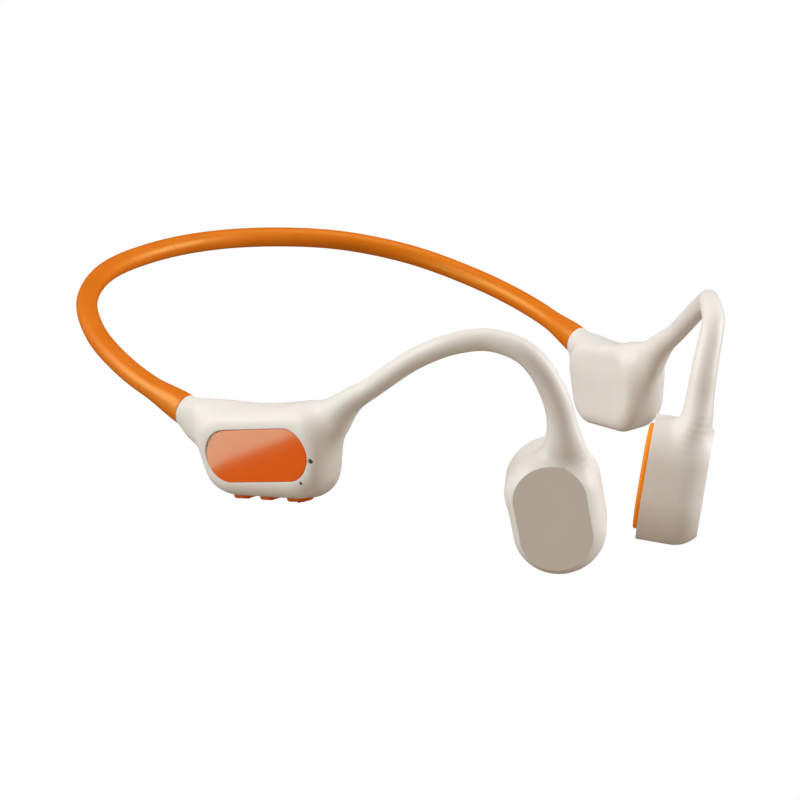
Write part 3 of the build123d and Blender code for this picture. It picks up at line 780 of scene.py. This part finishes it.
FINISHES = {
    "orange_silicone": surface("orange_silicone", (0.80, 0.185, 0.002), 0.4, grain=3200, relief=0.007,
                               shine=1.0, tint=(1.0, 0.75, 0.2)),
    "cream_silicone": surface("cream_silicone", (0.85, 0.825, 0.79), 0.42, grain=3600, relief=0.01,
                              mottle=0.012, glow=0.1, shine=0.4),
    "badge_gloss": surface("badge_gloss", (0.86, 0.125, 0.0), 0.3, coat=1.0, blur=0.07,
                           shine=0.05, grain=5000, relief=0.001, mottle=0.01, uneven=0.02),
    "button_orange": surface("button_orange", (0.74, 0.12, 0.002), 0.32, grain=4000,
                             relief=0.01, tint=(1.0, 0.6, 0.3)),
    "orange_pad": surface("orange_pad", (0.98, 0.30, 0.002), 0.5, grain=2800, relief=0.02,
                          shine=0.3),
    "black_plastic": surface("black_plastic", (0.015, 0.015, 0.016), 0.4, relief=0.02),
    "steel": surface("steel", (0.62, 0.62, 0.63), 0.3, metal=1.0, stretch=(1, 1, 9)),
    "nickel": surface("nickel", (0.70, 0.67, 0.62), 0.22, metal=1.0, relief=0.01),
    "copper": surface("copper", (0.80, 0.36, 0.18), 0.3, metal=1.0, grain=1800,
                      stretch=(1, 1, 14), relief=0.05),
    "spring_steel": surface("spring_steel", (0.5, 0.5, 0.52), 0.25, metal=1.0, stretch=(9, 1, 1)),
    "titanium": surface("titanium", (0.48, 0.46, 0.44), 0.35, metal=1.0, stretch=(1, 9, 1)),
    "cable_jacket": surface("cable_jacket", (0.03, 0.03, 0.035), 0.5, relief=0.03),
    "circuit_board": board_finish("circuit_board"),
    "gold": surface("gold", (0.95, 0.68, 0.28), 0.2, metal=1.0, relief=0.008),
    "light_guide": surface("light_guide", (0.06, 0.05, 0.045), 0.2, coat=0.6, relief=0.004),
    "cell_foil": surface("cell_foil", (0.66, 0.67, 0.69), 0.33, metal=0.9, grain=700, relief=0.08),
}


def paint_cad_nodes():
    """Every carried-over CAD node takes the finish of its material slot."""
    for part in RECORD["subparts"]:
        node = frame["nodes"][part["node"]]
        node.data.materials.clear()
        node.data.materials.append(FINISHES[part["material_slot"]])


# ---------------------------------------------------------------- neckband


def full_band(tail=0.0, offset=0.0, steps=150):
    """The centreline from the left pod round to the right pod, with straight tails."""
    half = smooth_path(BAND_PATH, BAND_START_DIRECTION, BAND_END_DIRECTION, steps)
    if tail:
        half = np.vstack([half, half[-1] + tail * unit(BAND_END_DIRECTION)])
    half = half + offset * UP
    return np.vstack([half[:0:-1] * (1, -1, 1), half])


def neckband_sleeve():
    """A tube that thickens towards both pods, with a rounded rim at each end."""
    path = full_band()
    s = arc_knots(path)
    rim = np.linspace(0, BAND_LIP, 4)
    stations = np.unique(np.concatenate([s[2:-2], rim, s[-1] - rim]))
    path = np.stack([np.interp(stations, s, path[:, axis]) for axis in range(3)], -1)
    to_end = np.minimum(stations, s[-1] - stations)
    share = np.clip(1 - to_end / BAND_FLARE, 0, 1)
    share = share * share * (3 - 2 * share)
    rounding = BAND_LIP - np.sqrt(np.maximum(BAND_LIP**2 - np.maximum(BAND_LIP - to_end, 0) ** 2, 0))
    sizes = [BAND_RADIUS + (end - BAND_RADIUS) * share - rounding for end in BAND_END]
    piece = mesh_object("neckband_sleeve", tube(path, *sizes, BAND_BORE))
    finish_piece(piece, BAND_BODIES, "orange_silicone",
                 ("neckband_sleeve_right", "neckband_sleeve_left"), sharp=50)


def neckband_cores():
    """The spring wire and the cable, one above the other inside the sleeve."""
    for name, node, offset, slot_name in (
            ("spring_wire", "neckband_spring_wire", CORE_OFFSET, "titanium"),
            ("pod_cable", "neckband_cable", -CORE_OFFSET, "cable_jacket")):
        path = full_band(CORE_TAIL, offset, 90)
        size = np.full(len(path), CORE_RADIUS)
        piece = mesh_object(name, tube(path, size, size, 0, steps=16))
        finish_piece(piece, BAND_BODIES, slot_name, (node,))


# ---------------------------------------------------------------- cream skins


def skin_shapes():
    """The outside of one side's cream skin and its hollow, both closed."""
    outside = field_mesh(skin_field, SKIN_LOW, SKIN_HIGH, SKIN_CELL)
    hollow = field_mesh(hollow_field, SKIN_LOW, SKIN_HIGH, HOLLOW_CELL)
    return outside, hollow


def junction():
    """The plane where the cream meets the neckband, facing back along the band."""
    return Axes(BAND_PATH[-1], UP, -unit(BAND_END_DIRECTION))


def surface_height(x, y):
    """How far out the skin lies at a place on the pod's outer side."""
    z = np.linspace(POD_THICKNESS / 2 - 2.0, POD_THICKNESS / 2 + 4.0, 400)
    inside = skin_field(np.array([POD.outside(x, y, v) for v in z])) < 0
    return z[inside].max()


def shared_cutters(hollow):
    """What both skins are cut by: spare faces, the neckband's end, the hollow and two seats."""
    seam = junction()
    badge = slab(BADGE_LENGTH, BADGE_HEIGHT, BADGE_CORNER,
                 well(-BADGE_DEPTH, BADGE_GAP, BADGE_LIP, CUT_ABOVE))
    seat = slab(PAD_WIDTH, PAD_LENGTH, PAD_WIDTH / 2, well(-PAD_SEAT, PAD_GAP, SEAT_LIP, CUT_ABOVE))
    spare = slab(TRANSDUCER_WIDTH, TRANSDUCER_LENGTH, TRANSDUCER_WIDTH / 2,
                 [(SPARE_GROWTH, 0.0), (SPARE_GROWTH, SPARE_CUT)])
    return [
        placed(spare, TRANSDUCER, z=TRANSDUCER_THICKNESS / 2),
        placed(spare, TRANSDUCER, z=-TRANSDUCER_THICKNESS / 2, facing="-z"),
        placed(disc(SEAM_CUT_RADIUS, [(0, 0), (0, SEAM_CUT_LENGTH)]), seam),
        placed(disc(BAND_BORE, [(0, -BORE_DEPTH), (0, 2)]), seam),
        hollow,
        placed(badge, POD, *BADGE_CENTRE, POD_THICKNESS / 2),
        placed(seat, TRANSDUCER, z=-TRANSDUCER_THICKNESS / 2, facing="-z"),
    ]


def right_cutters():
    """Button holes, microphone and light holes, and the charging contacts' holes."""
    cutters = []
    for x, length in BUTTONS.values():
        hole = slab(length, BUTTON_WIDTH, BUTTON_WIDTH / 2,
                    well(BUTTON_CUT, BUTTON_GAP, SEAT_LIP, CUT_ABOVE))
        cutters.append(placed(hole, POD, x, underside(x), 0, "-y"))
    for (x, y), radius in ((MIC_HOLE, MIC_RADIUS), (LIGHT_HOLE, LIGHT_RADIUS)):
        hole = disc(radius, well(HOLE_CUT, 0.0, HOLE_LIP, HOLE_ABOVE))
        cutters.append(placed(hole, POD, x, y, surface_height(x, y)))
    for side in (-1, 1):
        hole = disc(CHARGE_PIN_RADIUS, well(CHARGE_CUT, CHARGE_GAP, CHARGE_LIP, HOLE_ABOVE))
        cutters.append(placed(hole, POD, side * CHARGE_SPACING / 2, 0, -POD_THICKNESS / 2, "-z"))
    return cutters


def cream_skins():
    outside, hollow = skin_shapes()
    cutters = shared_cutters(hollow)
    solids = {"right": (outside, cutters + right_cutters()),
              "left": (mirrored(outside), [mirrored(c) for c in cutters])}
    for side, body in SIDES:
        solid, tools = solids[side]
        piece = combine(mesh_object(f"{side}_skin", solid), "DIFFERENCE", tools)
        finish_piece(piece, body, "cream_silicone",
                     (f"{side}_pod_shell", f"{side}_ear_hook", f"{side}_transducer_housing"))


# ---------------------------------------------------------------- badges, pads and buttons


def for_both_sides(name, solid, slot_name, node):
    for side, body in SIDES:
        piece = mesh_object(f"{side}_{name}", solid if side == "right" else mirrored(solid))
        finish_piece(piece, body, slot_name, (f"{side}_{node}",))


def badges():
    profile = [*seated_foot(BADGE_DEPTH), *edge_up(BADGE_EDGE, 0, BADGE_PROUD),
               *crown(BADGE_CROWN, -BADGE_EDGE, BADGE_PROUD, BADGE_CROWN_REACH)]
    solid = placed(slab(BADGE_LENGTH, BADGE_HEIGHT, BADGE_CORNER, profile), POD,
                   *BADGE_CENTRE, POD_THICKNESS / 2)
    for_both_sides("badge", solid, "badge_gloss", "badge_plate")


def contact_pads():
    profile = [*seated_foot(PAD_SEAT), *edge_up(PAD_EDGE, 0, PAD_PROUD),
               *crown(PAD_CROWN, -PAD_EDGE, PAD_PROUD, PAD_CROWN_REACH)]
    solid = placed(slab(PAD_WIDTH, PAD_LENGTH, PAD_WIDTH / 2, profile, steps=20), TRANSDUCER,
                   z=-TRANSDUCER_THICKNESS / 2, facing="-z")
    for_both_sides("pad", solid, "orange_pad", "contact_pad")


def mark_solids(kind, x, top):
    """The raised mark that tells a button apart by touch: a bar, a dot or a plus."""
    bar = [(0, -MARK_ROOT), *edge_up(MARK_EDGE, 0, MARK_HEIGHT)]
    along = slab(MARK_LENGTH, MARK_WIDTH, MARK_WIDTH / 2, bar)
    crossing = slab(MARK_WIDTH, MARK_LENGTH, MARK_WIDTH / 2, bar)
    dome = [(-DOT_RADIUS * (1 - math.cos(a)), MARK_HEIGHT * math.sin(a))
            for a in np.linspace(0, DOT_ANGLE, 8)]
    dot = disc(DOT_RADIUS, [(0, -MARK_ROOT), *dome])
    shapes = {"volume_down": [along], "power": [dot], "volume_up": [along, crossing]}[kind]
    return [placed(shape, POD, x, underside(x) - top, 0, "-y") for shape in shapes]


def buttons():
    """Three caps, each kept in by a flange, crowned and with its mark."""
    top = BUTTON_PROUD - MARK_HEIGHT
    shoulder = top - BUTTON_CROWN
    flange = [(BUTTON_FLANGE, FLANGE_LOW), (BUTTON_FLANGE, FLANGE_HIGH), (0, FLANGE_HIGH)]
    profile = [*flange, *edge_up(BUTTON_EDGE, 0, shoulder),
               *crown(BUTTON_CROWN, -BUTTON_EDGE, shoulder, BUTTON_CROWN_REACH)]
    for kind, (x, length) in BUTTONS.items():
        cap = slab(length, BUTTON_WIDTH, BUTTON_WIDTH / 2, profile)
        piece = mesh_object(f"{kind}_cap", placed(cap, POD, x, underside(x), 0, "-y"))
        combine(piece, "UNION", mark_solids(kind, x, top - MARK_SINK))
        finish_piece(piece, kind, "button_orange", (f"{kind}_button",))


def hole_covers():
    """The dark mesh over the microphone and the smoked window over the status light."""
    for name, (x, y), radius, slot_name in (
            ("microphone_mesh", MIC_HOLE, MIC_RADIUS, "black_plastic"),
            ("light_window", LIGHT_HOLE, LIGHT_RADIUS, "light_guide")):
        cover = disc(radius + COVER_EXTRA, [(0, -COVER_DEPTH - COVER_THICKNESS), (0, -COVER_DEPTH)])
        piece = mesh_object(name, placed(cover, POD, x, y, surface_height(x, y)))
        finish_piece(piece, "right_side", slot_name)


# ---------------------------------------------------------------- floor, light and camera


def white_to_camera(tree, lit, out):
    """Lets a surface or the sky look plain white itself, and dark in reflections."""
    kind = "ShaderNodeEmission" if out.type == "OUTPUT_MATERIAL" else "ShaderNodeBackground"
    ray, shown = tree.nodes.new("ShaderNodeLightPath"), lit
    for brightness, seen_by in ((REFLECTED, "Is Glossy Ray"), (1.0, "Is Camera Ray")):
        look, mix = tree.nodes.new(kind), tree.nodes.new("ShaderNodeMixShader")
        look.inputs["Color"].default_value = (brightness, brightness, brightness, 1)
        tree.links.new(ray.outputs[seen_by], mix.inputs[0])
        tree.links.new(shown.outputs[0], mix.inputs[1])
        tree.links.new(look.outputs[0], mix.inputs[2])
        shown = mix
    tree.links.new(shown.outputs[0], out.inputs["Surface"])


def floor():
    corners = [(-1, -1), (1, -1), (1, 1), (-1, 1)]
    mesh = bpy.data.meshes.new("floor")
    mesh.from_pydata([(x * FLOOR_HALF, y * FLOOR_HALF, FLOOR) for x, y in corners], [], [(0, 1, 2, 3)])
    sheet = bpy.data.objects.new("floor", mesh)
    bpy.context.scene.collection.objects.link(sheet)
    made, tree, shader = node_setup("floor_paper")
    shader.inputs["Base Color"].default_value = (*FLOOR_COLOUR, 1)
    shader.inputs["Roughness"].default_value = 0.9
    white_to_camera(tree, shader, tree.nodes["Material Output"])
    mesh.materials.append(made)


def backdrop():
    world = bpy.data.worlds.new("backdrop")
    world.use_nodes = True
    tree = world.node_tree
    lit = tree.nodes["Background"]
    lit.inputs["Color"].default_value = (*AMBIENT_COLOUR, 1)
    lit.inputs["Strength"].default_value = AMBIENT
    white_to_camera(tree, lit, tree.nodes["World Output"])
    bpy.context.scene.world = world


def soft_light(name, toward, distance, size, power):
    """A rectangular soft light that shines on the object from a direction."""
    lamp = panel(name, size, power, COOL)
    direction = Vector(unit(toward))
    lamp.location = direction * distance
    lamp.rotation_euler = direction.to_track_quat("Z", "Y").to_euler()


def panel(name, size, power, colour):
    data = bpy.data.lights.new(name, "AREA")
    data.shape, data.size, data.size_y = "RECTANGLE", *size
    data.energy, data.color = power, colour
    lamp = bpy.data.objects.new(name, data)
    lamp.visible_camera = False
    bpy.context.scene.collection.objects.link(lamp)
    return lamp


def badge_card(eye):
    """A glowing card whose mirror image crosses the near badge at a slant, seen from the camera."""
    face = POD.outside(*BADGE_CENTRE, POD_THICKNESS / 2 + BADGE_PROUD)
    behind = eye - 2 * ((eye - face) @ POD.z) * POD.z
    start, end = np.array(CARD_EDGE, float)
    along = unit([*(end - start), 0])[:2]
    across = np.array((-along[1], along[0]))
    middle = (start + end) / 2 + across * CARD_SIZE[1] / 2
    seen = POD.outside(*(BADGE_CENTRE + middle), POD_THICKNESS / 2 + BADGE_PROUD)
    place = Axes(behind + CARD_REACH * (seen - behind), across[0] * POD.x + across[1] * POD.y, POD.z)
    lamp = panel("badge_card", np.array(CARD_SIZE) * CARD_REACH * MM, CARD_POWER, CARD_COLOUR)
    lamp.visible_diffuse = False
    lamp.matrix_world = Matrix.LocRotScale(Vector(place.origin) * MM, place.matrix().to_3x3(), None)


def studio():
    floor()
    backdrop()
    for name, settings in SOFT_LIGHTS.items():
        soft_light(name, *settings)


def camera():
    data = bpy.data.cameras.new("view")
    data.lens, data.sensor_width = VIEW_LENS, 36.0
    eye = bpy.data.objects.new("view", data)
    bpy.context.scene.collection.objects.link(eye)
    turn, rise = math.radians(VIEW_TURN), math.radians(VIEW_RISE)
    back = Vector((math.sin(turn) * math.cos(rise), -math.cos(turn) * math.cos(rise), math.sin(rise)))
    eye.location = (Vector(VIEW_TARGET) + back * VIEW_DISTANCE) * MM
    eye.rotation_euler = back.to_track_quat("Z", "Y").to_euler()
    data.clip_start, data.clip_end = 0.01, 20.0
    bpy.context.scene.camera = eye
    badge_card(np.array(eye.location) / MM)
    view = bpy.context.scene.view_settings
    view.view_transform, view.look, view.exposure = "Standard", "None", 0.0


paint_cad_nodes()
neckband_sleeve()
neckband_cores()
cream_skins()
badges()
contact_pads()
buttons()
hole_covers()
studio()
camera()
